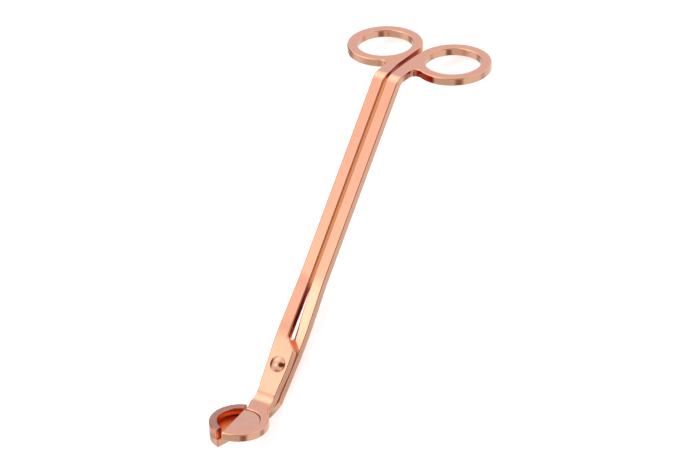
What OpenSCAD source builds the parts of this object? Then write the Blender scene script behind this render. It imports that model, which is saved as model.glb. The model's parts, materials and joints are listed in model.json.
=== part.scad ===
/* [Plate] */
// Thickness of the flat bar that both levers are bent from
plate_t = 3; // [2.4:0.1:3.6]
// Gap between the two levers where one lies on the other
lap_gap = 0.1; // [0.06:0.02:0.16]

/* [Shank] */
// Width across both bars of the long shank
shank_w = 10.4; // [9:0.1:12]
// Width of the slot between the two bars when closed
slot_w = 1.15; // [0.6:0.05:2]
// Distance from the pivot to the fold where the rings turn down
ring_fold_y = 109.6; // [90:0.2:140]
// Distance from the pivot at which each bar starts to move off the middle plane
joggle_start_y = 30; // [26:1:36]
// Distance from the pivot at which each bar lies fully above or below the other
joggle_end_y = 12; // [11.5:0.5:16]

/* [Finger rings] */
// Inner diameter of each finger ring
ring_bore_d = 20.1; // [18:0.1:21]
// Outer diameter of each finger ring
ring_outer_d = 27.4; // [26:0.1:28]
// Distance between the two ring centres
ring_pitch = 29.06; // [29:0.02:32]
// Distance from the fold line to the ring centres, along the rings
ring_reach = 20.9; // [19:0.1:26]
// Angle by which the rings turn down from the shank
ring_tilt = 48.8; // [30:0.2:55]
// Radius of the fold on its outer, upper side
ring_bend_r = 6; // [5:0.5:8]
// Radius of the web between a shank bar and its ring
web_r = 2.4; // [1.5:0.1:3.4]

/* [Neck and jaws] */
// Distance from the pivot to the fold where the jaws turn up
head_fold_y = 13.5; // [12:0.1:16]
// Angle by which the jaws turn up from the shank
head_tilt = 50.5; // [40:0.5:55]
// Radius of the fold on its inner, upper side
head_bend_r = 6; // [5:0.5:7]
// Distance from the fold line to the centre of the round jaws
head_reach = 15.2; // [14.6:0.1:17]
// Outer diameter of the round jaws
head_d = 21; // [20:0.5:23]
// Inner diameter of the tray, inside its wall
tray_d = 15.4; // [13.2:0.2:16]
// Diameter of the half-round blade
blade_d = 14.8; // [13:0.2:15.4]
// Depth of the blade face below the rim of the jaw
blade_drop = 0.5; // [0.3:0.1:0.9]
// Depth of the whole tray jaw from rim to underside
tray_h = 6.9; // [6.8:0.1:7.6]
// Distance by which the upper blade's edge passes the jaw centre when closed
blade_overlap = 1.7; // [1.2:0.1:2.2]
// Distance by which the tray floor's edge passes the jaw centre the other way
floor_overlap = 0.3; // [0:0.1:0.6]
// Angle of each edge to the middle plane, so that the edges cross like scissors
edge_angle = 8; // [4:1:10]
// Clearance between the upper blade and the tray floor
shear_gap = 0.2; // [0.18:0.01:0.25]

/* [Pivot] */
// Diameter of the rivet shank
rivet_d = 3.4; // [2.8:0.1:4]
// Diameter of the domed rivet head
rivet_head_d = 6; // [5:0.1:6.6]
// Height of the domed rivet head
rivet_head_h = 1.3; // [0.8:0.1:1.8]
// Radial clearance of the rivet in the upper lever
rivet_clear = 0.05; // [0.02:0.01:0.08]

/* [Hidden] */
$fn = 96;
big = 60;

// Half widths of the shank and its slot
half_w = shank_w / 2;
half_slot = slot_w / 2;
ring_x = ring_pitch / 2;
ring_r = ring_outer_d / 2;
head_r = head_d / 2;

// The shear plane between the two levers is z = 0
mid_t = plate_t / 2;
lap_z = lap_gap / 2;
lap_top = lap_z + plate_t;

// Straight lengths used up by the folds, on the face that stays outside or inside
ring_tangent = ring_bend_r * tan(ring_tilt / 2);
head_tangent = head_bend_r * tan(head_tilt / 2);

// The tray jaw's plate lies below the upper jaw with room to swing
floor_z = -plate_t - shear_gap;
tray_plate_z = plate_t - tray_h;
tray_bend_r = head_bend_r + plate_t + 0.3;
tray_fold_s = -(plate_t + lap_gap + tray_plate_z * cos(head_tilt)) / sin(head_tilt);
tray_fold_y = -head_fold_y - tray_fold_s * cos(head_tilt) + tray_plate_z * sin(head_tilt);
tray_tangent = tray_bend_r * tan(head_tilt / 2);
tray_neck_y = tray_fold_y + tray_tangent;
upper_neck_y = -head_fold_y + head_tangent;

// Widths of the lap on each side of the pivot, on the outer and the inner side
lap_outer = 4.1;
lap_inner = 3.7;

// Corners at which the inner edges of the two bars turn out to cover the pivot
upper_notch_x = 0.05;
lower_notch_x = 0.85;

// Ends of the rims at the tip, and how far round the tray jaw's plate stops there
rim_edge = -0.4;
wall_edge = -2.3;
jaw_tip_turn = edge_angle - asin(floor_overlap / head_r);

// Height of the rivet's tail behind the lower lever
tail_h = 0.5;

// Slot between the rings, set a little to the upper lever's side
ring_slot = [-1.5, 0.35];

// Laid down, it rests on the far edges of both rings and the back of the neck
ring_far_y = ring_fold_y + (ring_reach + ring_r) * cos(ring_tilt);
ring_far_z = mid_t - (ring_reach + ring_r) * sin(ring_tilt);
rest_ring_y = ring_far_y - plate_t * sin(ring_tilt);
rest_ring_z = ring_far_z - plate_t * cos(ring_tilt);
rest_neck_y = tray_neck_y;
rest_neck_z = tray_bend_r - lap_z;
rest_neck_r = tray_bend_r + plate_t;
rest_dy = rest_ring_y - rest_neck_y;
rest_dz = rest_ring_z - rest_neck_z;
rest_angle = -atan2(rest_dz, rest_dy) - asin(rest_neck_r / norm([rest_dy, rest_dz]));
rest_z = -(rest_ring_y * sin(rest_angle) + rest_ring_z * cos(rest_angle));
far_y = ring_far_y * cos(rest_angle) - ring_far_z * sin(rest_angle);
jaw_tip_v = head_reach + head_r * cos(jaw_tip_turn);
jaw_tip_y = -head_fold_y - jaw_tip_v * cos(head_tilt) - tray_h * sin(head_tilt);
jaw_tip_z = lap_top + jaw_tip_v * sin(head_tilt) - tray_h * cos(head_tilt);
near_y = jaw_tip_y * cos(rest_angle) - jaw_tip_z * sin(rest_angle);
centre_y = (far_y + near_y) / 2;

// Puts the closed trimmer in its rest position, with the origin under its middle
module laid_down() {
    translate([0, -centre_y, rest_z])
        rotate([rest_angle, 0, 0])
            children();
}

// Frame of the rings: x across, y away from the fold, z = 0 on the upper face
module ring_frame() {
    translate([0, ring_fold_y, mid_t])
        rotate([-ring_tilt, 0, 0])
            children();
}

// Frame of the jaws: origin at their centre on the rim, y towards the pivot
module head_frame() {
    translate([0, -head_fold_y, lap_top])
        rotate([-head_tilt, 0, 0])
            translate([0, -head_reach, 0])
                children();
}

// A side view, drawn as y along and z up, given a width from x0 to x1
module from_side(x0, x1) {
    rotate([90, 0, 90])
        translate([0, 0, x0])
            linear_extrude(x1 - x0)
                children();
}

// What lies outside a circle in the wedge between two directions from its centre
module outside_arc(centre, r, from, to) {
    reach = r + 1.5;
    middle = (from + to) / 2;
    translate(centre)
        difference() {
            polygon([
                [0, 0],
                reach * [cos(from), sin(from)],
                reach / cos(middle - from) * [cos(middle), sin(middle)],
                reach * [cos(to), sin(to)]
            ]);
            circle(r = r);
        }
}

// Side view of a lever's bar with sharp folds; lap_face is its upper face at the pivot
module bar_side(lap_face, neck_fold_y) {
    shift = plate_t * tan(atan((lap_face - mid_t) / (joggle_start_y - joggle_end_y)) / 2);
    ring_end = 40 * [cos(ring_tilt), -sin(ring_tilt)] + [ring_fold_y, mid_t];
    jaw_end = 30 * [-cos(head_tilt), sin(head_tilt)] + [neck_fold_y, lap_face];
    polygon([
        ring_end,
        [ring_fold_y, mid_t],
        [joggle_start_y, mid_t],
        [joggle_end_y, lap_face],
        [neck_fold_y, lap_face],
        jaw_end,
        jaw_end - plate_t * [sin(head_tilt), cos(head_tilt)],
        [neck_fold_y - plate_t * tan(head_tilt / 2), lap_face - plate_t],
        [joggle_end_y - shift, lap_face - plate_t],
        [joggle_start_y - shift, -mid_t],
        [ring_fold_y - plate_t * tan(ring_tilt / 2), -mid_t],
        ring_end - plate_t * [sin(ring_tilt), cos(ring_tilt)]
    ]);
}

// The same side view with both folds rounded
module lever_side(lap_face, neck_fold_y, neck_r) {
    ring_c = [ring_fold_y - ring_tangent, mid_t - ring_bend_r];
    neck_c = [neck_fold_y + neck_r * tan(head_tilt / 2), lap_face + neck_r];
    difference() {
        union() {
            bar_side(lap_face, neck_fold_y);
            outside_arc(ring_c, ring_bend_r - plate_t, 90 - ring_tilt, 90);
            outside_arc(neck_c, neck_r, 270 - head_tilt, 270);
        }
        outside_arc(ring_c, ring_bend_r, 90 - ring_tilt, 90);
        outside_arc(neck_c, neck_r + plate_t, 270 - head_tilt, 270);
    }
}

// Plan of the bar on the -x side: narrow beside the slot, wide over the pivot
module arm_plan(neck_y, notch_x) {
    polygon([
        [-half_w, ring_fold_y + 4.9],
        [-half_w, 27],
        [-lap_outer - 0.8, 6],
        [-lap_outer - 0.2, -7.3],
        [-lap_outer, -9.4],
        [-lap_outer, neck_y + 0.6],
        [lap_inner, neck_y + 0.6],
        [lap_inner, -9.4],
        [lap_inner + 0.6, -1],
        [lap_inner + 0.6, 6.1],
        [notch_x, 10.3],
        [-half_slot, joggle_start_y - 2],
        [-half_slot, ring_fold_y - 0.4]
    ]);
}

// Outline of the ring on the -x side, with the web that joins it to its bar
module ring_plan(slot_x) {
    fillet_x = -half_w - web_r + 0.005;
    fillet_y = ring_reach - sqrt(pow(ring_r + web_r - 0.005, 2) - pow(ring_x + fillet_x, 2));
    difference() {
        union() {
            intersection() {
                translate([-ring_x, ring_reach])
                    circle(r = ring_r);
                translate([slot_x - big, 0])
                    square(big);
            }
            difference() {
                polygon([
                    [-half_w + 0.5, -1],
                    [-half_w + 0.5, fillet_y],
                    [fillet_x, fillet_y],
                    [-ring_x, ring_reach],
                    [slot_x, ring_reach],
                    [slot_x, 9],
                    [-half_slot - 0.06, ring_tangent],
                    [-half_slot - 0.06, -1]
                ]);
                translate([fillet_x, fillet_y])
                    circle(r = web_r);
            }
        }
        translate([-ring_x, ring_reach])
            circle(d = ring_bore_d);
    }
}

// Everything that the plan views of the lever on the -x side allow
module lever_plans(neck_y, notch_x, slot_x) {
    translate([0, 0, -big / 2])
        linear_extrude(big)
            arm_plan(neck_y, notch_x);
    ring_frame()
        translate([0, 0, -2 * plate_t])
            linear_extrude(3.5 * plate_t)
                ring_plan(slot_x);
}

// Half of the round jaws on the +x side of an edge, which may be turned
module half_disc(r, edge_x, turn = 0) {
    intersection() {
        circle(r = r);
        rotate(turn)
            translate([edge_x, -big / 2])
                square(big);
    }
}

// Outline of the upper jaw's rim and neck
module upper_jaw_plan() {
    neck_y = head_reach - head_tangent;
    difference() {
        union() {
            half_disc(head_r, rim_edge);
            polygon([
                [-lap_outer, neck_y + 8],
                [lap_inner, neck_y + 8],
                [lap_inner, neck_y],
                [lap_inner + 1.4, neck_y - 2],
                [8.4, 6.2],
                [rim_edge, 6.2],
                [-2.6, 7.4],
                [-2.9, 9.7],
                [-lap_outer, neck_y]
            ]);
        }
        circle(d = blade_d);
    }
}

// Outline of the tray jaw's plate and neck, which lie under the upper jaw
module tray_jaw_plan() {
    neck_y = head_reach - tray_fold_s - tray_tangent;
    mirror([1, 0, 0])
        half_disc(head_r, -floor_overlap, edge_angle);
    polygon([
        [-lap_inner, neck_y + 14],
        [lap_outer, neck_y + 14],
        [lap_outer, neck_y + 9],
        [lap_outer - 1, neck_y + 5],
        [2.2, neck_y],
        [2, 7],
        [0, 0],
        [-7.5, 7.2],
        [-lap_inner - 1, neck_y - 1],
        [-lap_inner, neck_y]
    ]);
}

// Lever with the left ring, the upper jaw and the looser rivet hole
module upper_lever() {
    color("#eeb191")
        laid_down()
            difference() {
                intersection() {
                    from_side(-big, big)
                        lever_side(lap_top, -head_fold_y, head_bend_r);
                    union() {
                        lever_plans(upper_neck_y, upper_notch_x, ring_slot[0]);
                        head_frame()
                            translate([0, 0, -2 * plate_t])
                                linear_extrude(4 * plate_t)
                                    upper_jaw_plan();
                    }
                }
                cylinder(h = big, d = rivet_d + 2 * rivet_clear, center = true);
            }
}

// Lever with the right ring and the plate under the tray
module lower_lever() {
    color("#e8a585")
        laid_down()
            difference() {
                intersection() {
                    from_side(-big, big)
                        lever_side(-lap_z, tray_fold_y, tray_bend_r);
                    union() {
                        mirror([1, 0, 0])
                            lever_plans(tray_neck_y, -lower_notch_x, -ring_slot[1]);
                        head_frame()
                            translate([0, 0, -tray_h - plate_t])
                                linear_extrude(5 * plate_t)
                                    tray_jaw_plan();
                    }
                }
                cylinder(h = big, d = rivet_d, center = true);
            }
}

// Half-round blade let into the upper jaw, its straight side the cutting edge
module upper_blade() {
    color("#d9a08f")
        laid_down()
            head_frame()
                translate([0, 0, -plate_t])
                    linear_extrude(plate_t - blade_drop)
                        half_disc(blade_d / 2, -blade_overlap, edge_angle);
}

// Half-round counter blade that is also the floor of the tray
module tray_blade() {
    color("#cf9078")
        laid_down()
            head_frame()
                translate([0, 0, tray_plate_z])
                    linear_extrude(floor_z - tray_plate_z)
                        mirror([1, 0, 0])
                            half_disc(tray_d / 2, -floor_overlap, edge_angle);
}

// Curved wall of the tray, flush with the upper jaw's rim
module tray_wall() {
    color("#e0a184")
        laid_down()
            head_frame()
                translate([0, 0, tray_plate_z])
                    linear_extrude(-tray_plate_z)
                        difference() {
                            intersection() {
                                circle(r = head_r);
                                polygon([
                                    [-big, -big],
                                    [wall_edge, -big],
                                    [wall_edge, 2],
                                    [-3.1, 7.3],
                                    [-3.7, 9.9],
                                    [-3.7, big],
                                    [-big, big]
                                ]);
                            }
                            circle(d = tray_d);
                        }
}

// Rivet with a domed head on top and a low, wide tail behind
module pivot_rivet() {
    head_base = lap_top + lap_z;
    dome_r = (pow(rivet_head_d / 2, 2) + pow(rivet_head_h, 2)) / (2 * rivet_head_h);
    color("#e6a888")
        laid_down() {
            translate([0, 0, -lap_top - tail_h])
                cylinder(h = lap_top + tail_h + head_base, d = rivet_d);
            translate([0, 0, -lap_top - tail_h])
                cylinder(h = tail_h, d = rivet_head_d - 1);
            intersection() {
                translate([0, 0, head_base + rivet_head_h - dome_r])
                    sphere(r = dome_r);
                translate([0, 0, head_base])
                    cylinder(h = rivet_head_h + 1, d = rivet_head_d);
            }
        }
}

upper_lever();
lower_lever();
upper_blade();
tray_blade();
tray_wall();
pivot_rivet();
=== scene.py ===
# %% [markdown]
# # A wick trimmer in Blender
# A wick trimmer is a pair of long, thin scissors for candles in deep jars. It is two bars
# of 3 mm steel plate, cut flat, bent in a press brake and joined by one rivet. The whole
# tool is polished and plated in rose gold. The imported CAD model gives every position,
# and this script makes the finished surfaces around it.

# %% Load the frame
import json
import math

import bmesh
import bpy
from mathutils import Matrix, Vector


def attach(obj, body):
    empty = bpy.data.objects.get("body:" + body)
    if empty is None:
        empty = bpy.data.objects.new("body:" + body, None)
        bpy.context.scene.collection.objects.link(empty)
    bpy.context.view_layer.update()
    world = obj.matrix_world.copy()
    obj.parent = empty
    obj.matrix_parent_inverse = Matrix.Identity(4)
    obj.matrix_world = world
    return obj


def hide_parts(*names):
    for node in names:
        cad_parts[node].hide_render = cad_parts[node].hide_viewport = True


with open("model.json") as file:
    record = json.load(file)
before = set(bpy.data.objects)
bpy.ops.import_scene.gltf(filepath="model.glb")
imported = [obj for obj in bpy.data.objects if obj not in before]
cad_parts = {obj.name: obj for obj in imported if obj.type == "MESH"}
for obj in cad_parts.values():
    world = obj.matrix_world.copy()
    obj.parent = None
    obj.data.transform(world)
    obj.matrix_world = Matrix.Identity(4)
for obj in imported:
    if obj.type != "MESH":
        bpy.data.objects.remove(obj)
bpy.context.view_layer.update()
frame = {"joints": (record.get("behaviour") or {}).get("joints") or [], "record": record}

# %% [markdown]
# ## Where things are
# The model lies on a table, so its long bars slope a little. It is easier to work in the
# tool's own frame: X across, Y from the pivot towards the rings, Z up out of the flat
# bars, in millimetres. The joint in the record gives the pivot and the slope, and the
# two ring holes in the record give the rings. One matrix takes finished work back.

# %% The tool's own frame
MM = 0.001
joint = frame["joints"][0]
slope = math.atan2(-joint["axis"][1], joint["axis"][2])
bench = Matrix.Translation(joint["pos_m"]) @ Matrix.Rotation(slope, 4, "X") @ Matrix.Scale(MM, 4)
holes = {m["name"]: m for m in frame["record"]["mounts"]}
ring_hole = holes["left_ring"]
ring_x = abs(ring_hole["pos_m"][0]) / MM
bore_r = ring_hole["dims"]["r_mm"]
ring_tilt = slope + math.atan2(ring_hole["axis"][1], ring_hole["axis"][2])
print("slope", round(math.degrees(slope), 2), "ring tilt", round(math.degrees(ring_tilt), 2))

# %% [markdown]
# ## Camera
# The tool is small, so the camera stands more than a metre away, above one side of it,
# and has a long lens. A short lens close by would make the rings look much smaller than
# the jaws. A long lens keeps the bars nearly parallel.

# %% Camera
camera_data = bpy.data.cameras.new("long_lens")
camera_data.lens, camera_data.sensor_width = 180.0, 36.0
camera_data.clip_start, camera_data.clip_end = 0.05, 20.0
camera = bpy.data.objects.new("camera", camera_data)
camera.location = (0.618402, -0.286328, 1.042614)
camera.rotation_euler = [math.radians(a) for a in (25.513, 22.1625, 26.3488)]
bpy.context.scene.collection.objects.link(camera)
bpy.context.scene.camera = camera
print("camera at", tuple(round(c, 3) for c in camera.location))

# %% [markdown]
# ## Sizes
# These are the real sizes of the plate in millimetres. The two levers come from the same
# stock, so they share most of them.

# %% Sizes of the plate
plate_t = 3.0
lap_gap = 0.1
edge_r = 0.42
half_w = 5.2
half_slot = 0.575
ring_r = 13.7
web_r = 2.4
ring_reach = 20.9
ring_fold_y = 109.6
ring_bend_r = 6.0
jog_start, jog_end = 30.0, 12.0
print("plate", plate_t, "mm, edges rounded to", edge_r, "mm")

# %% Sizes of the bar near the pivot
neck_out, neck_in, neck_y_high = 4.1, 3.7, -9.4
hip_out, hip_y = 4.3, -7.3
lap_out, lap_in, lap_y_high, lap_y_low = 4.9, 4.3, 6.1, -1.0
lap_out_y = 6.0
full_width_y = 27.0
notch_y = 10.3
shank_r, rivet_hole_r = 1.7, 1.75
print("neck", round(neck_out + neck_in, 1), "mm wide, lap", round(lap_out + lap_in, 1), "mm wide")

# %% Sizes of the jaws
head_tilt = math.radians(50.5)
head_fold_y = 13.5
head_bend_r = 6.0
head_reach = 15.2
head_r = 10.5
blade_r = 7.4
tray_r = 7.7
tray_depth = 3.9
shear_gap = 0.2
edge_turn = math.radians(8)
tray_bend_r = head_bend_r + plate_t + 0.3
print("jaws", 2 * head_r, "mm across")

# %% [markdown]
# ## Where the bends go
# A bend takes up some of the flat plate, so lengths on the flat plate differ from lengths
# on the finished tool. Each bend's tangent length, its radius times the tangent of half its
# angle, says how far before the corner it starts. The two small bends near the pivot are
# made wide, because a buffing wheel has smoothed them. A wider bend has a longer arc, and
# starts earlier by half of what its arc gained.

# %% Lengths at the step and the rings
mid_t = plate_t / 2
lap_mid = (plate_t + lap_gap) / 2
jog_angle = math.atan2(lap_mid, jog_start - jog_end)
jog_extra = math.hypot(jog_start - jog_end, lap_mid) - (jog_start - jog_end)
pressed_bend_r, buffed_bend_r = 14.0, 90.0
jog_ease = (buffed_bend_r - pressed_bend_r) * jog_angle / 2
ring_tangent = ring_bend_r * math.tan(ring_tilt / 2)
ring_mid_r = ring_bend_r - mid_t
ring_fold_start = ring_fold_y - ring_tangent + jog_extra
ring_zero = ring_fold_start + ring_mid_r * ring_tilt - ring_tangent
print("step of", round(lap_mid, 2), "mm, ring end at", round(ring_zero + ring_reach + ring_r, 1), "mm")

# %% Lengths at the jaws
head_tangent = head_bend_r * math.tan(head_tilt / 2)
upper_neck = -head_fold_y + head_tangent
upper_zero = upper_neck - (head_bend_r + mid_t) * head_tilt - (head_reach - head_tangent)
plate_drop = -tray_depth
tray_fold_s = -(plate_t + lap_gap + plate_drop * math.cos(head_tilt)) / math.sin(head_tilt)
tray_fold_y = -head_fold_y - tray_fold_s * math.cos(head_tilt) + plate_drop * math.sin(head_tilt)
tray_tangent = tray_bend_r * math.tan(head_tilt / 2)
tray_neck = tray_fold_y + tray_tangent
tray_neck_s = head_reach - tray_fold_s - tray_tangent
tray_zero = tray_neck - (tray_bend_r + mid_t) * head_tilt - tray_neck_s
print("upper jaw's end at", round(upper_zero - head_r, 1), "mm on the flat plate")

# %% [markdown]
# ## Drawing an outline
# A lever starts as a flat shape cut from plate. Its outline is drawn like a pen drawing:
# a straight run to the next corner, or a turn about a centre. Extruding one vertex draws
# the run and spinning it draws the turn. Every corner is rounded a little afterwards,
# because polishing takes the sharpness off.

# %% Pen moves
step_degrees = 2.5


def run_to(bm, pen, x, y, z=0.0):
    new = bmesh.ops.extrude_vert_indiv(bm, verts=[pen])["verts"][0]
    bmesh.ops.translate(bm, verts=[new], vec=Vector((x, y, z)) - new.co)
    return new


def last_vertex(spun):
    return [g for g in spun["geom_last"] if isinstance(g, bmesh.types.BMVert)][0]


def turn_about(bm, pen, x, y, degrees, lead=0.0, tail=0.0):
    """A turn about (x, y). Its first lead mm and last tail mm stay straight, as room for corners."""
    centre = Vector((x, y, 0))
    radius = (pen.co - centre).length
    for length in (lead, None, tail):
        if length is None:
            left = degrees - math.copysign(math.degrees((lead + tail) / radius), degrees)
            pen = last_vertex(bmesh.ops.spin(
                bm, geom=[pen], cent=centre, axis=(0, 0, 1), angle=math.radians(left),
                steps=max(2, round(abs(left) / step_degrees)), use_duplicate=False))
        elif length:
            step = Matrix.Rotation(math.copysign(length / radius, degrees), 3, "Z")
            pen = run_to(bm, pen, *(centre + step @ (pen.co - centre)).xy)
    return pen


# %% Close the outline and round its corners
def close_outline(bm, start, pen, corners):
    bmesh.ops.contextual_create(bm, geom=[start, pen])
    bmesh.ops.contextual_create(bm, geom=bm.edges[:])
    for offset in sorted({o for _, o in corners}):
        bmesh.ops.bevel(
            bm, geom=[v for v, o in corners if o == offset], offset=offset,
            offset_type="OFFSET", segments=5, profile=0.5, affect="VERTICES", material=-1)
    bmesh.ops.delete(bm, geom=bm.faces[:], context="FACES_ONLY")


# %% [markdown]
# ## From outline to plate
# The outline and its holes are filled, pulled up into a plate, and its edges rounded. A
# bevel slides along whatever edges the filled face has, which is uneven on a face with
# holes. Insetting the whole face in small steps that also rise gives an even quarter
# round instead. Each vertex keeps how far it is round from the flat to the side, in an
# attribute called side, for the finish to read.

# %% Fill and thicken
def fill_flat(bm, circles):
    """Add round holes, each an (x, y, radius, segments), and fill the outline round them."""
    for x, y, radius, count in circles:
        bmesh.ops.create_circle(bm, cap_ends=False, radius=radius, segments=count,
                                matrix=Matrix.Translation((x, y, 0)))
    bmesh.ops.triangle_fill(bm, use_beauty=True, edges=bm.edges[:], normal=(0, 0, 1))


round_steps = 5


def thicken(bm, thickness, low_r, high_r):
    """A plate of this thickness, its edges rounded to low_r underneath and high_r on top."""
    side = bm.verts.layers.float.new("side")
    bmesh.ops.translate(bm, verts=bm.verts, vec=(0, 0, low_r - thickness / 2))
    grown = bmesh.ops.extrude_face_region(bm, geom=bm.faces[:])["geom"]
    top = [g for g in grown if isinstance(g, bmesh.types.BMFace)]
    lifted = [g for g in grown if isinstance(g, bmesh.types.BMVert)]
    bmesh.ops.translate(bm, verts=lifted, vec=(0, 0, thickness - low_r - high_r))
    bmesh.ops.recalc_face_normals(bm, faces=bm.faces)
    tops = set(top)
    base = [f for f in bm.faces if f not in tops and abs(f.normal.z) > 0.9]
    for region, radius in ((top, high_r), (base, low_r)):
        for k in range(round_steps if radius else 0):
            a, b = (math.pi / 2 * j / round_steps for j in (k, k + 1))
            bmesh.ops.inset_region(
                bm, faces=region, thickness=radius * (math.cos(a) - math.cos(b)),
                depth=radius * (math.sin(b) - math.sin(a)),
                use_boundary=True, use_even_offset=True)
    for v in bm.verts:
        radius = high_r if v.co.z > 0 else low_r
        rise = (abs(v.co.z) - (thickness / 2 - radius)) / radius if radius else 0.0
        v[side] = 1 - math.asin(min(max(rise, 0.0), 1.0)) / (math.pi / 2)


# %% [markdown]
# ## The press brake
# A fold keeps the length of the plate's middle layer. So the plate is scored across where
# the fold will be, and each score line is slid back by the length it uses and then turned
# about the axis of the fold. The folds nearest the ends come first, so that each later
# one carries a finished end with it.

# %% Fold a plate
def fold(bm, start, radius, degrees, toward):
    """Bend what lies past y = start, on its high side (toward 1) or its low side (toward -1)."""
    length = radius * abs(math.radians(degrees))
    cuts = max(8, round(abs(degrees) / step_degrees))
    for i in range(cuts + 1):
        bmesh.ops.bisect_plane(
            bm, geom=bm.verts[:] + bm.edges[:] + bm.faces[:], dist=0.0005,
            plane_co=(0, start + toward * length * i / cuts, 0), plane_no=(0, 1, 0))
    groups = {}
    for v in bm.verts:
        past = (v.co.y - start) * toward
        if past > 1e-5:
            groups.setdefault(round(min(past, length), 5), []).append(v)
    centre = (0, start, math.copysign(radius, degrees * toward))
    for past, verts in groups.items():
        angle = math.copysign(past / radius, degrees)
        bmesh.ops.translate(bm, verts=verts, vec=(0, -toward * past, 0))
        bmesh.ops.rotate(bm, verts=verts, cent=centre, matrix=Matrix.Rotation(angle, 3, "X"))


# %% [markdown]
# ## Finishing a piece
# Every piece ends the same way. It is brought to its place on the table, its faces are
# turned outwards, and it gets smooth shading. Weighted normals then keep the large flats
# truly flat, so that only the rounded edges bend the reflections. The CAD nodes it stands
# for are hidden, and it is parented to an empty for the body it moves with.

# %% Bring a finished shape to its place
def finish_piece(bm, name, body, nodes, material):
    bmesh.ops.transform(bm, matrix=bench, verts=bm.verts)
    bmesh.ops.recalc_face_normals(bm, faces=bm.faces)
    mesh = bpy.data.meshes.new(name)
    bm.to_mesh(mesh)
    bm.free()
    mesh.shade_smooth()
    mesh.materials.append(material)
    piece = bpy.data.objects.new(name, mesh)
    bpy.context.scene.collection.objects.link(piece)
    piece.modifiers.new("flat_faces_stay_flat", "WEIGHTED_NORMAL").weight = 100
    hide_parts(*nodes)
    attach(piece, body)
    print(name, "has", len(mesh.polygons), "faces")


# %% [markdown]
# ## Nodes for the finishes
# Each finish is a short chain of nodes. One function turns a hex colour, as a paint chart
# gives it, to the linear values that the renderer works in, and one adds a node with its
# settings and links.

# %% Colour and node helpers
def linear(hex_colour):
    channels = [int(hex_colour[i:i + 2], 16) / 255 for i in (1, 3, 5)]
    return tuple(c / 12.92 if c < 0.04045 else ((c + 0.055) / 1.055) ** 2.4 for c in channels) + (1.0,)


def add(tree, kind, settings=None, inputs=None):
    node = tree.nodes.new(kind)
    for key, value in (settings or {}).items():
        setattr(node, key, value)
    for key, value in (inputs or {}).items():
        if isinstance(value, bpy.types.NodeSocket):
            tree.links.new(value, node.inputs[key])
        else:
            node.inputs[key].default_value = value
    return node


def empty_material(name):
    material = bpy.data.materials.new(name)
    material.use_nodes = True
    material.node_tree.nodes.clear()
    return material, material.node_tree


print("rose gold is", [round(c, 3) for c in linear("#EFB79C")])

# %% [markdown]
# ## Rose gold on polished steel
# The levers are steel, ground, polished on a buffing wheel and plated with a rose gold of
# copper and gold. To the eye that is a soft pink mirror. Its reflections are nearly sharp
# and waver a little, because buffing leaves the flat not quite flat. The plating is
# paler where hands have rubbed the rounded edges, and the cut sides are less well polished
# than the flats. The cut sides are also painted a little browner, which is painted shade.
# The tone drifts slowly, over about 22 mm, and the rubbing comes in spots of about 2.5 mm.

# %% Colour of the flats, sides and edges
def plated_colour(tree, where, flat, flat_2, painted_side_tone, edge_tone):
    """The colour, and a mask that is 1 on the cut sides."""
    side = add(tree, "ShaderNodeAttribute", {"attribute_name": "side"}).outputs["Fac"]
    cloud = add(tree, "ShaderNodeTexNoise", {}, {"Vector": where, "Scale": 1 / (22 * MM), "Detail": 3.0})
    tone = add(tree, "ShaderNodeMix", {"data_type": "RGBA"}, {
        "Factor": cloud.outputs["Fac"], 6: linear(flat), 7: linear(flat_2)})
    cut = add(tree, "ShaderNodeMapRange", {"interpolation_type": "SMOOTHSTEP"}, {
        "Value": side, "From Min": 0.35, "From Max": 0.95}).outputs["Result"]
    # On the cut sides the colour moves to the side tone: painted shade on the levers, painted reflection of
    # copper in copper on the tray wall.
    sided = add(tree, "ShaderNodeMix", {"data_type": "RGBA"}, {
        "Factor": cut, 6: tone.outputs[2], 7: linear(painted_side_tone)})
    edge = add(tree, "ShaderNodeMath", {"operation": "PINGPONG"}, {0: side, 1: 0.5})
    rubbed = add(tree, "ShaderNodeTexNoise", {}, {"Vector": where, "Scale": 1 / (2.5 * MM), "Detail": 5.0})
    wear = add(tree, "ShaderNodeMath", {"operation": "MULTIPLY"}, {
        0: edge.outputs[0], 1: rubbed.outputs["Fac"]})
    worn = add(tree, "ShaderNodeMix", {"data_type": "RGBA"}, {
        "Factor": wear.outputs[0], 6: sided.outputs[2], 7: linear(edge_tone)})
    return worn.outputs[2], cut


# %% [markdown]
# ### Painted reflection in the slot and the corners
# The walls of the narrow slot between the two levers are painted a redder copper, and the
# deepest corners a dark red still. This is painted reflection, copper seen in copper. The
# corners are the fork where the rings part, the notch in front of the lap, and the root of
# the ring on the right. They are found by how near a place is to them, in the frame of the table.

# %% The slot and the deep corners, where reflection is painted
dark_reflection_corners = {
    "fork": ((1.3, 69.0, 16.0), 9.0, 12.5),
    "notch": ((1.0, -27.0, 8.5), 6.0, 11.0),
    "ring_root": ((10.2, 62.4, 20.1), 4.6, 6.0)}
slot_half_mm, bar_half_mm = 1.5, 2.4
slot_front_mm, slot_fade_mm = -44, 4
print("unbuffed corners:", *dark_reflection_corners)


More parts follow.
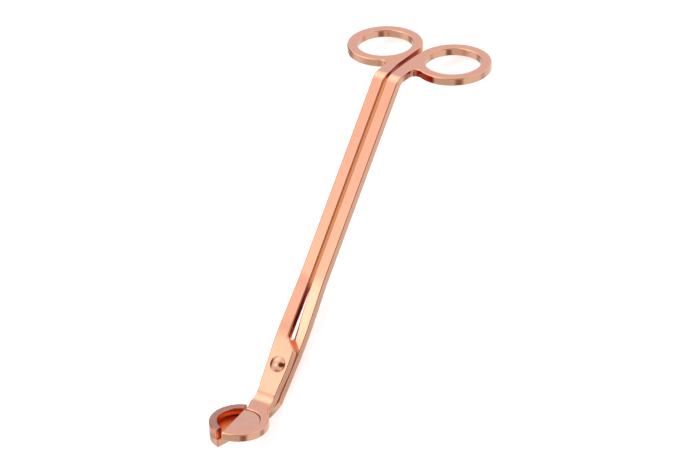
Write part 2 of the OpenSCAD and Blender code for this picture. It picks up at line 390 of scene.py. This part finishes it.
# %% Masks for the slot and the deep corners
def painted_reflection_masks(tree, where):
    """Two masks where reflection is painted: one for the slot's walls, and one for the deep corners."""
    apart = add(tree, "ShaderNodeSeparateXYZ", {}, {"Vector": where})
    across = add(tree, "ShaderNodeMath", {"operation": "ABSOLUTE"}, {0: apart.outputs["X"]}).outputs[0]
    folded = add(tree, "ShaderNodeCombineXYZ", {}, {
        "X": across, "Y": apart.outputs["Y"], "Z": apart.outputs["Z"]})
    thin = add(tree, "ShaderNodeMapRange", {"interpolation_type": "SMOOTHSTEP"}, {
        "Value": across, "From Min": bar_half_mm * MM, "From Max": slot_half_mm * MM})
    behind_jaws = add(tree, "ShaderNodeMapRange", {"interpolation_type": "SMOOTHSTEP"}, {
        "Value": apart.outputs["Y"], "From Min": (slot_front_mm - slot_fade_mm) * MM,
        "From Max": slot_front_mm * MM})
    slot = add(tree, "ShaderNodeMath", {"operation": "MULTIPLY"}, {
        0: thin.outputs[0], 1: behind_jaws.outputs[0]}).outputs[0]
    deep = None
    for name, (centre, inner, outer) in dark_reflection_corners.items():
        in_slot = name != "ring_root"
        away = add(tree, "ShaderNodeVectorMath", {"operation": "DISTANCE"}, {
            0: folded.outputs[0] if in_slot else where, 1: Vector(centre) * MM})
        near = add(tree, "ShaderNodeMapRange", {"interpolation_type": "SMOOTHSTEP"}, {
            "Value": away.outputs["Value"], "From Min": outer * MM, "From Max": inner * MM}).outputs[0]
        if in_slot:
            near = add(tree, "ShaderNodeMath", {"operation": "MULTIPLY"}, {0: near, 1: slot}).outputs[0]
        deep = near if deep is None else add(
            tree, "ShaderNodeMath", {"operation": "MAXIMUM"}, {0: deep, 1: near}).outputs[0]
    return slot, deep


# %% [markdown]
# ### What buffing leaves
# The wheel leaves fine lines along the bars, smears of duller polish about 9 mm long, and
# shallow waves. The real lines are about 0.02 mm apart, too fine to show here, so they are
# drawn 0.35 mm apart. The waves are only 0.02 mm deep over 8 mm, and still bend the
# reflections.

# %% Lines, smears and waves
def buffed_surface(tree, where, cut, rough, grain):
    """The roughness and the bumps of a buffed surface."""
    drawn_out = add(tree, "ShaderNodeMapping", {}, {"Vector": where, "Scale": (1.0, 0.06, 1.0)})
    lines = add(tree, "ShaderNodeTexNoise", {}, {
        "Vector": drawn_out.outputs[0], "Scale": 1 / (0.35 * MM), "Detail": 4.0})
    smear = add(tree, "ShaderNodeTexNoise", {}, {"Vector": where, "Scale": 1 / (9 * MM), "Detail": 4.0})
    smeared = add(tree, "ShaderNodeMapRange", {}, {
        "Value": smear.outputs["Fac"], "From Min": 0.3, "From Max": 0.7,
        "To Min": rough * 0.75, "To Max": rough * 1.25})
    duller_sides = add(tree, "ShaderNodeMath", {"operation": "MULTIPLY_ADD"}, {
        0: cut, 1: 0.05, 2: smeared.outputs["Result"]})
    lined = add(tree, "ShaderNodeMath", {"operation": "MULTIPLY_ADD"}, {
        0: lines.outputs["Fac"], 1: grain, 2: duller_sides.outputs[0]})
    waver = add(tree, "ShaderNodeTexNoise", {}, {"Vector": where, "Scale": 1 / (8 * MM), "Detail": 1.0})
    waves = add(tree, "ShaderNodeBump", {}, {
        "Height": waver.outputs["Fac"], "Strength": 1.0, "Distance": 0.02 * MM})
    hairlines = add(tree, "ShaderNodeBump", {}, {
        "Height": lines.outputs["Fac"], "Strength": 1.0, "Distance": 0.0006 * MM,
        "Normal": waves.outputs[0]})
    return lined.outputs[0], hairlines.outputs[0]


# %% Polished rose gold
def rose_gold(name, flat, flat_2, painted_side_tone, edge_tone, rough, grain, slot_reflection_tone=None, dark_reflection_tone=None):
    material, tree = empty_material(name)
    where = add(tree, "ShaderNodeTexCoord").outputs["Object"]
    colour, cut = plated_colour(tree, where, flat, flat_2, painted_side_tone, edge_tone)
    # Painted reflection: the slot's walls turn a redder copper and the deep corners dark red, on the cut
    # sides only.
    for place, tone in zip(painted_reflection_masks(tree, where), (slot_reflection_tone or painted_side_tone, dark_reflection_tone or painted_side_tone)):
        painted_reflection = add(tree, "ShaderNodeMath", {"operation": "MULTIPLY"}, {0: place, 1: cut})
        colour = add(tree, "ShaderNodeMix", {"data_type": "RGBA"}, {
            "Factor": painted_reflection.outputs[0], 6: colour, 7: linear(tone)}).outputs[2]
    roughness, normal = buffed_surface(tree, where, cut, rough, grain)
    metal = add(tree, "ShaderNodeBsdfPrincipled", {}, {
        "Base Color": colour, "Metallic": 1.0, "Roughness": roughness, "Normal": normal})
    add(tree, "ShaderNodeOutputMaterial", {}, {"Surface": metal.outputs[0]})
    return material


# %% [markdown]
# ### Three finishes of rose gold
# The levers have the brightest polish. The rivet is turned from another bar and is a
# little browner. The tray wall is brazed to its plate and is a little rougher. Its top is
# painted a duller, darker pink, which is painted shade, and its sides a strong copper colour,
# which is painted reflection of copper in copper.

# %% Make the three finishes
# The plate's slot and corner tones are painted reflection, copper seen in copper.
polished = rose_gold(
    "rose_gold_polished_plate", flat="#F8B28F", flat_2="#F4B095", painted_side_tone="#EDB28C", edge_tone="#FBCDB0",
    slot_reflection_tone="#F09A5E", dark_reflection_tone="#A02A08", rough=0.12, grain=0.03)
rivet_metal = rose_gold(
    "rose_gold_polished_rivet", flat="#F0B090", flat_2="#F2B698", painted_side_tone="#CE957C", edge_tone="#F8CDB0",
    rough=0.14, grain=0.02)
# The tray wall's darker top is painted shade, and its orange sides are painted reflection.
tray_metal = rose_gold(
    "rose_gold_tray_painted_shade_and_reflection", flat="#C48F7C", flat_2="#BC8672", painted_side_tone="#F8935C", edge_tone="#F0C0A4",
    rough=0.19, grain=0.04)
print("made", polished.name, "and", rivet_metal.name, "and", tray_metal.name)

# %% [markdown]
# ## Satin rose gold for the blades
# The blade faces were ground across and only lightly polished before plating, so they
# scatter light along fine lines and look like pale satin. The real lines are about
# 0.05 mm apart, too fine to show here, so they are drawn 0.3 mm apart. The floor of the
# tray is painted a strong orange copper, which is painted reflection of copper in copper.

# %% Satin rose gold
def satin(name, tone_a, tone_b, rough):
    material, tree = empty_material(name)
    where = add(tree, "ShaderNodeTexCoord").outputs["Object"]
    ground_across = add(tree, "ShaderNodeMapping", {}, {
        "Vector": where, "Rotation": (0, 0, 0.6), "Scale": (0.08, 1.0, 1.0)})
    lines = add(tree, "ShaderNodeTexNoise", {}, {
        "Vector": ground_across.outputs[0], "Scale": 1 / (0.3 * MM), "Detail": 5.0})
    cloud = add(tree, "ShaderNodeTexNoise", {}, {"Vector": where, "Scale": 1 / (6 * MM), "Detail": 3.0})
    blend = add(tree, "ShaderNodeMath", {"operation": "MULTIPLY_ADD"}, {
        0: lines.outputs["Fac"], 1: 0.5, 2: cloud.outputs["Fac"]})
    tone = add(tree, "ShaderNodeMix", {"data_type": "RGBA"}, {
        "Factor": blend.outputs[0], 6: linear(tone_a), 7: linear(tone_b)})
    spread = add(tree, "ShaderNodeMapRange", {}, {
        "Value": lines.outputs["Fac"], "From Min": 0.3, "From Max": 0.7,
        "To Min": rough * 0.8, "To Max": rough * 1.2})
    scratch = add(tree, "ShaderNodeBump", {}, {
        "Height": lines.outputs["Fac"], "Strength": 1.0, "Distance": 0.002 * MM})
    metal = add(tree, "ShaderNodeBsdfPrincipled", {}, {
        "Base Color": tone.outputs[2], "Metallic": 1.0, "Roughness": spread.outputs[0],
        "Normal": scratch.outputs[0]})
    add(tree, "ShaderNodeOutputMaterial", {}, {"Surface": metal.outputs[0]})
    return material


blade_metal = satin("rose_gold_satin_blade", "#E4A58C", "#EEB69C", 0.34)
# The tray floor's orange is painted reflection of the copper round it.
floor_metal = satin("rose_gold_satin_tray_floor", "#E0703C", "#F08A52", 0.34)
print("made", blade_metal.name, "and", floor_metal.name)

# %% [markdown]
# ## The two levers
# Each lever is one bar with a finger ring at one end and half of a round jaw at the
# other. Near the pivot each bar steps off the middle plane, one up and one down, so that
# they lie on each other at the rivet, and widens inwards to cover it. Both are drawn with
# the ring on the left, and the second one is mirrored, because that is how a maker would
# cut both from one drawing.

# %% Draw the bar and ring
def draw_bar(bm, neck_y, notch_x, slot_x, corners):
    """All but the jaw: out along the outer side, round the ring, and back along the inner side."""
    fillet_x = -half_w - web_r
    fillet_y = ring_reach - math.sqrt((ring_r + web_r) ** 2 - (ring_x + fillet_x) ** 2)
    meet = math.degrees(math.atan2(ring_reach - fillet_y, -ring_x - fillet_x))
    cut_y = math.sqrt(max(ring_r ** 2 - (ring_x + slot_x) ** 2, 0.0))
    cut_angle = math.degrees(math.atan2(cut_y, ring_x + slot_x)) if cut_y else 6.0
    start = pen = bm.verts.new((-neck_out, neck_y, 0))
    for x, y in ((-neck_out, neck_y_high), (-hip_out, hip_y), (-lap_out, lap_out_y),
                 (-half_w, full_width_y), (-half_w, ring_zero + fillet_y)):
        pen = run_to(bm, pen, x, y)
    pen = turn_about(bm, pen, fillet_x, ring_zero + fillet_y, meet)
    pen = turn_about(bm, pen, -ring_x, ring_zero + ring_reach, -(180 + meet - cut_angle), tail=1.6)
    corners.append((pen, 0.9))
    slot_top = 9.0 if cut_y else 17.0
    for x, y, soft in ((slot_x, ring_zero + slot_top, 1.5), (slot_x, ring_zero + 9.0, 1.0),
                       (-half_slot, ring_zero + ring_tangent, 1.0), (-half_slot, jog_start - 2, 3.0),
                       (notch_x, notch_y, 0.5), (lap_in, lap_y_high, 0.6), (lap_in, lap_y_low, 0.0),
                       (neck_in, neck_y_high, 0.0), (neck_in, neck_y, 0.0)):
        if (pen.co.xy - Vector((x, y))).length < 0.01:
            continue
        pen = run_to(bm, pen, x, y)
        if soft:
            corners.append((pen, soft))
    return start, pen


# %% Draw the upper jaw
def draw_upper_jaw(bm, pen, corners):
    """A half ring, open towards the tray, with the seat for the blade inside it."""
    shoulder, seat_end, rim_x = 38.0, 108.3, -0.4
    turned = math.radians(shoulder)
    for x, y in ((neck_in + 1.4, head_reach - head_tangent - 2),
                 (head_r * math.cos(turned), head_r * math.sin(turned))):
        pen = run_to(bm, pen, x, upper_zero + y)
        corners.append((pen, 1.0))
    outer_end = math.degrees(math.asin(rim_x / head_r)) - 90
    inner_end = math.degrees(math.asin(rim_x / blade_r)) - 90
    pen = turn_about(bm, pen, 0, upper_zero, outer_end - shoulder, lead=1.2, tail=0.8)
    corners.append((pen, 0.65))
    pen = run_to(bm, pen, rim_x, upper_zero + blade_r * math.sin(math.radians(inner_end)))
    corners.append((pen, 0.65))
    pen = turn_about(bm, pen, 0, upper_zero, seat_end - inner_end, lead=0.8, tail=1.0)
    corners.append((pen, 0.8))
    pen = run_to(bm, pen, -2.9, upper_zero + 9.7)
    corners.append((pen, 0.8))
    return pen


# %% Bend a flat lever
def bend_lever(bm, side_of_lap, neck_start, neck_bend_r):
    """Bend the ring, the step and the neck. side_of_lap is 1 for the upper lever, -1 for the lower."""
    climb = side_of_lap * math.degrees(jog_angle)
    fold(bm, ring_fold_start, ring_mid_r, -math.degrees(ring_tilt), 1)
    fold(bm, jog_start + jog_extra - jog_ease, buffed_bend_r, climb, 1)
    fold(bm, jog_end - jog_ease, buffed_bend_r, -climb, 1)
    fold(bm, neck_start, neck_bend_r + mid_t, -math.degrees(head_tilt), -1)
    bmesh.ops.translate(bm, verts=bm.verts, vec=(0, 0, side_of_lap * lap_mid))


# %% Make the upper lever
bm = bmesh.new()
corners = []
start, pen = draw_bar(bm, neck_y=upper_neck, notch_x=0.05, slot_x=-1.5, corners=corners)
pen = run_to(bm, pen, neck_in, upper_zero + head_reach - head_tangent)
pen = draw_upper_jaw(bm, pen, corners)
pen = run_to(bm, pen, -neck_out, upper_zero + head_reach - head_tangent)
corners.append((pen, 1.0))
close_outline(bm, start, pen, corners)
fill_flat(bm, [(-ring_x, ring_zero + ring_reach, bore_r, 144), (0, 0, rivet_hole_r, 48)])
thicken(bm, plate_t, edge_r, edge_r)
bend_lever(bm, 1, upper_neck, head_bend_r)
finish_piece(bm, "upper_lever_plate", "upper_half", ["upper_lever"], polished)

# %% Draw the tray jaw
def draw_tray_jaw(bm, pen, corners):
    """The plate under the tray. Its cut edge is turned a little, so that the blades shear."""
    shoulder = 43.0
    turned = math.radians(shoulder)
    for x, y, soft in ((neck_in, tray_neck_s, 0.6), (neck_in + 1, tray_neck_s - 1, 0.6),
                       (head_r * math.cos(turned), head_r * math.sin(turned), 1.0)):
        pen = run_to(bm, pen, x, tray_zero + y)
        corners.append((pen, soft))
    tip = math.degrees(edge_turn + math.asin(0.3 / head_r)) - 90
    pen = turn_about(bm, pen, 0, tray_zero, tip - shoulder, lead=1.2, tail=0.8)
    corners.append((pen, 0.65))
    for x, y, soft in ((-0.596, 2.087, 0.8), (-2.0, 7.0, 1.0), (-2.2, tray_neck_s, 1.5),
                       (-3.1, tray_neck_s + 5.2, 1.5)):
        pen = run_to(bm, pen, x, tray_zero + y)
        corners.append((pen, soft))
    return pen


# %% Make the lower lever
bm = bmesh.new()
corners = []
start, pen = draw_bar(bm, neck_y=tray_neck - 0.8, notch_x=-0.85, slot_x=-0.35, corners=corners)
pen = draw_tray_jaw(bm, pen, corners)
close_outline(bm, start, pen, corners)
fill_flat(bm, [(-ring_x, ring_zero + ring_reach, bore_r, 144), (0, 0, shank_r, 48)])
thicken(bm, plate_t, edge_r, edge_r)
bend_lever(bm, -1, tray_neck, tray_bend_r)
bmesh.ops.scale(bm, verts=bm.verts, vec=(-1, 1, 1))
finish_piece(bm, "lower_lever_plate", "lower_half", ["lower_lever"], polished)

# %% [markdown]
# ## The blades and the tray
# The jaws are bent up, so their parts are made flat in a frame of their own: the origin
# is the middle of the round jaws on the rim, and Y points back to the pivot. Each blade
# is a disc cut off along the shearing line, which takes fewer steps than drawing a half
# round. Where the cut crosses the rim it leaves very short edges, and these are merged
# first, because insetting a face with such an edge folds it over.

# %% The frame of the jaws
jaw_bench = (
    Matrix.Translation((0, -head_fold_y, lap_gap / 2 + plate_t))
    @ Matrix.Rotation(-head_tilt, 4, "X")
    @ Matrix.Translation((0, -head_reach, 0)))
print("jaw centre", [round(c, 2) for c in jaw_bench.translation])


# %% Cut and thicken a half-round blade
def half_round(name, radius, edge_x, low, high, soft, mirrored, body, node, metal):
    """A disc from z = low to high, cut off at edge_x along the shearing line."""
    edge = Vector((math.cos(edge_turn), math.sin(edge_turn), 0))
    shortest_edge = 0.15
    bm = bmesh.new()
    bmesh.ops.create_circle(bm, cap_ends=True, radius=radius, segments=144)
    bmesh.ops.bisect_plane(
        bm, geom=bm.verts[:] + bm.edges[:] + bm.faces[:], clear_inner=True,
        plane_co=edge_x * edge, plane_no=edge)
    bmesh.ops.remove_doubles(bm, verts=bm.verts, dist=shortest_edge)
    thicken(bm, high - low, 0.0, soft)
    bmesh.ops.translate(bm, verts=bm.verts, vec=(0, 0, (high + low) / 2))
    if mirrored:
        bmesh.ops.scale(bm, verts=bm.verts, vec=(-1, 1, 1))
    bmesh.ops.transform(bm, matrix=jaw_bench, verts=bm.verts)
    finish_piece(bm, name, body, [node], metal)


# %% Make the two blades
seam = 0.15
blade_sunk = 0.5
half_round("upper_blade_plate", radius=blade_r - seam, edge_x=-1.7, low=-plate_t, high=-blade_sunk,
           soft=0.12, mirrored=False, body="upper_half", node="upper_blade", metal=blade_metal)
half_round("tray_floor_blade", radius=tray_r, edge_x=-0.3, low=plate_drop, high=-plate_t - shear_gap,
           soft=0.08, mirrored=True, body="lower_half", node="tray_blade", metal=floor_metal)

# %% [markdown]
# ## The tray wall
# The wall is a strip of plate bent round and brazed to the tray's floor. It could be folded
# from a straight strip, but a part that is round about one axis is simpler to spin: a small
# outline with a rounded top is spun about the jaw's axis, then cut off at its two ends.

# %% Draw the wall's outline
rim_r = 0.5


def wall_profile(bm):
    start = pen = bm.verts.new((-tray_r, 0, plate_drop))
    for x, z in ((-tray_r, 0.0), (-head_r, 0.0), (-head_r, plate_drop)):
        pen = run_to(bm, pen, x, 0, z)
    bmesh.ops.contextual_create(bm, geom=[start, pen])
    bmesh.ops.contextual_create(bm, geom=bm.edges[:])
    rim = [v for v in bm.verts if abs(v.co.z) < 1e-6]
    bmesh.ops.bevel(bm, geom=rim, offset=rim_r, offset_type="OFFSET", segments=6,
                    profile=0.5, affect="VERTICES", material=-1)


# %% Spin the wall and cut its ends
wall_from, wall_turn = -82, 172
tip_cut = ((-2.3, 0, 0), (1, 0, 0))
neck_cut = ((-3.1, 7.3, 0), (2.6, 0.6, 0))
bm = bmesh.new()
wall_profile(bm)
to_first_end = Matrix.Rotation(math.radians(wall_from), 3, "Z")
bmesh.ops.rotate(bm, verts=bm.verts, cent=(0, 0, 0), matrix=to_first_end)
bmesh.ops.spin(bm, geom=bm.faces[:], cent=(0, 0, 0), axis=(0, 0, 1), angle=math.radians(wall_turn),
               steps=wall_turn // 2, use_duplicate=False)
for point, facing in (tip_cut, neck_cut):
    cut = bmesh.ops.bisect_plane(
        bm, geom=bm.verts[:] + bm.edges[:] + bm.faces[:], clear_outer=True,
        plane_co=point, plane_no=facing)["geom_cut"]
    bmesh.ops.holes_fill(bm, edges=[e for e in cut if isinstance(e, bmesh.types.BMEdge)], sides=0)
print("the wall turns through", wall_turn, "degrees before its ends are cut")

# %% Finish the wall
side = bm.verts.layers.float.new("side")
for v in bm.verts:
    v[side] = min(max(-v.co.z / rim_r, 0.0), 1.0)
bmesh.ops.transform(bm, matrix=jaw_bench, verts=bm.verts)
finish_piece(bm, "tray_wall_rim", "lower_half", ["tray_wall"], tray_metal)

# %% [markdown]
# ## The rivet
# The rivet's domed head sits on the upper lever and its tail is set flat behind the lower
# one. Its shank is a little thinner than the hole in the upper lever, so that this lever
# turns on it. It is a half outline, spun all the way round.

# %% Sizes of the rivet
dome_r, dome_h = 3.0, 1.3
tail_r, tail_h = 2.5, 0.5
lap_top = lap_gap / 2 + plate_t
dome_low = lap_top + lap_gap / 2
tail_end = -lap_top - tail_h
curve_r = (dome_r ** 2 + dome_h ** 2) / (2 * dome_h)
print("dome", 2 * dome_r, "mm across and", dome_h, "mm high")

# %% Make the rivet
bm = bmesh.new()
bm.verts.layers.float.new("side")
pen = bm.verts.new((0, 0, dome_low + dome_h))
arc = math.asin((dome_r - 0.12) / curve_r)
pen = last_vertex(bmesh.ops.spin(
    bm, geom=[pen], cent=(0, 0, dome_low + dome_h - curve_r), axis=(0, 1, 0),
    angle=arc, steps=16, use_duplicate=False))
for x, z in ((dome_r, dome_low + 0.14), (dome_r, dome_low + 0.03), (dome_r - 0.05, dome_low),
             (shank_r, dome_low), (shank_r, -lap_top), (tail_r - 0.05, -lap_top), (tail_r, -lap_top - 0.05),
             (tail_r, tail_end + 0.25), (tail_r - 0.08, tail_end + 0.1), (tail_r - 0.25, tail_end),
             (0, tail_end)):
    pen = run_to(bm, pen, x, 0, z)
bmesh.ops.spin(bm, geom=bm.verts[:] + bm.edges[:], cent=(0, 0, 0), axis=(0, 0, 1),
               angle=2 * math.pi, steps=64, use_merge=True, use_duplicate=False)
bmesh.ops.remove_doubles(bm, verts=bm.verts, dist=0.0005)
finish_piece(bm, "pivot_rivet_domed", "lower_half", ["pivot_rivet"], rivet_metal)

# %% [markdown]
# ## The table
# The table is a large sheet of white paper. It is left out of the metal's reflections,
# and the metal sees the pale lower half of the studio in its place. Otherwise the sides
# would mirror the paper and look as white as it.

# %% Table
bm = bmesh.new()
bmesh.ops.create_grid(bm, x_segments=1, y_segments=1, size=3.0)
floor_mesh = bpy.data.meshes.new("table")
bm.to_mesh(floor_mesh)
bm.free()
floor = bpy.data.objects.new("table", floor_mesh)
bpy.context.scene.collection.objects.link(floor)
floor.visible_glossy = False
print("table laid")

# %% White paper
paper, tree = empty_material("white_paper_table")
fibre = add(tree, "ShaderNodeTexNoise", {}, {"Scale": 60.0, "Detail": 4.0})
shade = add(tree, "ShaderNodeMix", {"data_type": "RGBA"}, {
    "Factor": fibre.outputs["Fac"], 6: linear("#F6F5F3"), 7: linear("#F9F8F7")})
surface = add(tree, "ShaderNodeBsdfPrincipled", {}, {"Base Color": shade.outputs[2], "Roughness": 0.9})
add(tree, "ShaderNodeOutputMaterial", {}, {"Surface": surface.outputs[0]})
floor_mesh.materials.append(paper)
print("table covered with", paper.name)

# %% [markdown]
# ## The studio
# Polished metal shows what is round it more than its own colour, so the room matters more
# than the lamps. The studio is a pale room in every direction, painted with soft round
# patches: bright softboxes overhead, a grey wall, and a few dark screens. Screens like
# these give bright metal its dark lines, and its shape is read from them. Azimuth 0 is
# to the tool's right, and 90 is towards its rings.

# %% A pale room
world = bpy.data.worlds.new("studio")
bpy.context.scene.world = world
world.use_nodes = True
sky = world.node_tree
sky.nodes.clear()
look = add(sky, "ShaderNodeTexCoord").outputs["Generated"]
light = add(sky, "ShaderNodeValue").outputs[0]
light.default_value = 0.93
print("a pale room of level", round(light.default_value, 2))


# %% A patch of the studio
def patch(light, azimuth, elevation, core, edge, level):
    """The room with one more patch: level within core degrees of its middle, fading out by edge."""
    around, up = math.radians(azimuth), math.radians(elevation)
    middle = (math.cos(up) * math.cos(around), math.cos(up) * math.sin(around), math.sin(up))
    facing = add(sky, "ShaderNodeVectorMath", {"operation": "DOT_PRODUCT"}, {0: look, 1: middle})
    angle = add(sky, "ShaderNodeMath", {"operation": "ARCCOSINE"}, {0: facing.outputs["Value"]})
    fade = add(sky, "ShaderNodeMapRange", {"interpolation_type": "SMOOTHSTEP"}, {
        "Value": angle.outputs[0], "From Min": math.radians(edge), "From Max": math.radians(core)})
    return add(sky, "ShaderNodeMix", {"data_type": "FLOAT"}, {
        "Factor": fade.outputs[0], 2: light, 3: level}).outputs[0]


# %% Paint the softboxes, the walls and the screens
for azimuth, elevation, core, edge, level in (
        (120, -8, 12, 30, 0.84),    # low wall beyond the rings
        (208, 58, 5, 16, 1.90),     # softbox, high on the left
        (163, 59, 4, 9, 1.12),      # small softbox beside it
        (132, 40, 6, 34, 1.70),     # large softbox beyond the left ring
        (270, 5, 20, 48, 0.66),     # grey wall beyond the jaws
        (311, -2, 8, 15, 0.24),     # narrow dark screen in front of that wall
        (178, -8, 14, 34, 0.17),    # low dark screen on the left
        (346, 66, 17, 33, 0.13),    # dark screen overhead
        (2, 45, 12, 25, 0.10),      # dark screen on the right
        (222, 50, 3, 10, 2.15),     # small bright lamp in front of the first softbox
        (8, -52, 5, 12, 0.50)):     # shade below, on the right
    light = patch(light, azimuth, elevation, core, edge, level)
print("studio painted")

# %% [markdown]
# ## Colour of the studio light
# High up the light is white, and low down it is a little cooler, as from a north window.
# The darkest parts are warm, as though they were other copper things seen in the metal.

# %% Tint the studio
height = add(sky, "ShaderNodeSeparateXYZ", {}, {"Vector": look}).outputs["Z"]
lower_down = add(sky, "ShaderNodeMapRange", {"interpolation_type": "SMOOTHSTEP"}, {
    "Value": height, "From Min": 0.82, "From Max": 0.1})
tint = add(sky, "ShaderNodeMix", {"data_type": "RGBA"}, {
    "Factor": lower_down.outputs[0], 6: (1.0, 1.0, 1.0, 1.0), 7: (0.95, 1.0, 1.12, 1.0)})
lit = add(sky, "ShaderNodeMapRange", {}, {"Value": light, "From Min": 0.1, "From Max": 0.6})
warmed = add(sky, "ShaderNodeMix", {"data_type": "RGBA"}, {
    "Factor": lit.outputs[0], 6: (1.0, 0.42, 0.2, 1.0), 7: tint.outputs[2]})
background = add(sky, "ShaderNodeBackground", {}, {"Color": warmed.outputs[2], "Strength": light})
add(sky, "ShaderNodeOutputWorld", {}, {"Surface": background.outputs[0]})
bpy.context.scene.view_settings.view_transform = "Standard"
print("studio lit")

# %% A lamp for the table
lamp_data = bpy.data.lights.new("overhead_softbox", "AREA")
lamp_data.shape, lamp_data.size, lamp_data.energy = "DISK", 1.6, 20.0
lamp_data.use_shadow = False
lamp = bpy.data.objects.new("overhead_softbox", lamp_data)
lamp.location = (-0.1, 0.1, 1.6)
lamp.visible_camera = lamp.visible_glossy = False
bpy.context.scene.collection.objects.link(lamp)
print("lamp of", lamp_data.energy, "W")
